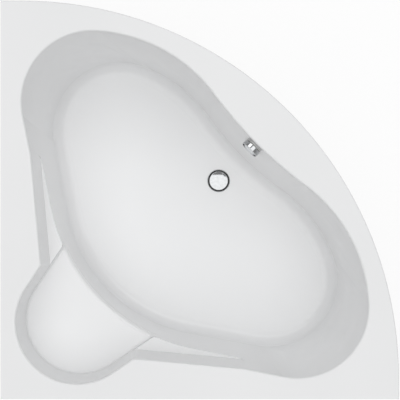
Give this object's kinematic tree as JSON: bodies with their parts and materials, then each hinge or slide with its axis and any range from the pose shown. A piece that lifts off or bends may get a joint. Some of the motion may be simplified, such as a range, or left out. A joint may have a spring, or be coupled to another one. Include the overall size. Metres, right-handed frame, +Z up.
{
  "type": "corner bathtub",
  "caption": "Quarter-round corner bathtub with a three-lobed bowl, corner seat, arm ledges, pop-up waste with overflow knob, steel cradle and curved front panel.",
  "frame": {"origin": "on the floor, under the middle of the square that the plan fits in", "axes": "+Z up; -X towards the left wall; +Y towards the back wall, so the room corner is at -X +Y and the round front faces +X -Y"},
  "size_m": [1.4, 1.4, 0.6],
  "materials": {
    "acrylic": "glossy white sanitary acrylic",
    "panel_acrylic": "glossy white acrylic sheet",
    "chipboard": "raw chipboard",
    "zinc_steel": "zinc plated",
    "cradle_paint": "grey powder coat",
    "black_plastic": "black nylon",
    "chrome": "polished chrome",
    "brass": "turned brass",
    "rubber": "black rubber",
    "white_plastic": "white moulded polypropylene"
  },
  "bodies": {
    "bath": {"tub_shell": "acrylic", "base_board": "chipboard", "seat_board": "chipboard", "board_screws": "zinc_steel", "cross_bar_front": "cradle_paint", "cross_bar_rear": "cradle_paint", "link_bar_left": "cradle_paint", "link_bar_right": "cradle_paint", "seat_beam": "cradle_paint", "post_front_left": "cradle_paint", "post_front_right": "cradle_paint", "post_rear_left": "cradle_paint", "post_rear_right": "cradle_paint", "seat_post": "cradle_paint", "rim_pads": "black_plastic", "seat_plate": "zinc_steel", "post_inserts": "black_plastic", "lock_nuts": "zinc_steel", "front_panel": "panel_acrylic", "panel_clips": "black_plastic", "panel_arm_left": "cradle_paint", "panel_arm_right": "cradle_paint", "panel_screws": "zinc_steel", "waste_flange": "chrome", "upper_gasket": "rubber", "lower_gasket": "rubber", "waste_body": "white_plastic", "lever_pin": "zinc_steel", "trap_nut": "white_plastic", "trap_body": "white_plastic", "dip_tube": "white_plastic", "trap_cap": "white_plastic", "outlet_pipe": "white_plastic", "outlet_nut": "white_plastic", "overflow_flange": "white_plastic", "overflow_gasket": "rubber", "overflow_body": "white_plastic", "overflow_pipe": "white_plastic", "overflow_nut": "white_plastic", "inlet_nut": "white_plastic", "wall_brackets_left": "zinc_steel", "wall_brackets_back": "zinc_steel"},
    "knob": {"overflow_knob": "chrome", "knob_spindle": "brass"},
    "plug": {"plug": "chrome", "plug_seal": "rubber"},
    "lever": {"waste_lever": "white_plastic"},
    "foot_front_left": {"foot_rod_front_left": "zinc_steel", "foot_pad_front_left": "black_plastic"},
    "foot_front_right": {"foot_rod_front_right": "zinc_steel", "foot_pad_front_right": "black_plastic"},
    "foot_rear_left": {"foot_rod_rear_left": "zinc_steel", "foot_pad_rear_left": "black_plastic"},
    "foot_rear_right": {"foot_rod_rear_right": "zinc_steel", "foot_pad_rear_right": "black_plastic"},
    "foot_seat": {"foot_rod_seat": "zinc_steel", "foot_pad_seat": "black_plastic"}
  },
  "joints": [
    {"name": "overflow_knob_turn", "type": "hinge", "parent": "bath", "child": "knob", "pos_m": [0.19093, -0.19093, 0.53], "axis": [-0.6986, 0.6986, 0.1549], "range_deg": [0, 100]},
    {"name": "plug_lift", "type": "slide", "parent": "bath", "child": "plug", "axis": [0, 0, 1], "range_m": [0, 0.01]},
    {"name": "waste_lever_tilt", "type": "hinge", "parent": "bath", "child": "lever", "pos_m": [0.08309, -0.0548, 0.112], "axis": [-0.7071, 0.7071, 0], "range_deg": [0, 22]},
    {"name": "foot_front_left_height", "type": "slide", "parent": "bath", "child": "foot_front_left", "axis": [0, 0, 1], "range_m": [-0.03, 0.03]},
    {"name": "foot_front_right_height", "type": "slide", "parent": "bath", "child": "foot_front_right", "axis": [0, 0, 1], "range_m": [-0.03, 0.03]},
    {"name": "foot_rear_left_height", "type": "slide", "parent": "bath", "child": "foot_rear_left", "axis": [0, 0, 1], "range_m": [-0.03, 0.03]},
    {"name": "foot_rear_right_height", "type": "slide", "parent": "bath", "child": "foot_rear_right", "axis": [0, 0, 1], "range_m": [-0.03, 0.03]},
    {"name": "foot_seat_height", "type": "slide", "parent": "bath", "child": "foot_seat", "axis": [0, 0, 1], "range_m": [-0.03, 0.03]}
  ],
  "couplings": [
    {"joint": "plug_lift", "follows": "overflow_knob_turn", "m_per_rad": 0.0057296},
    {"joint": "waste_lever_tilt", "follows": "overflow_knob_turn", "ratio": 0.22}
  ]
}
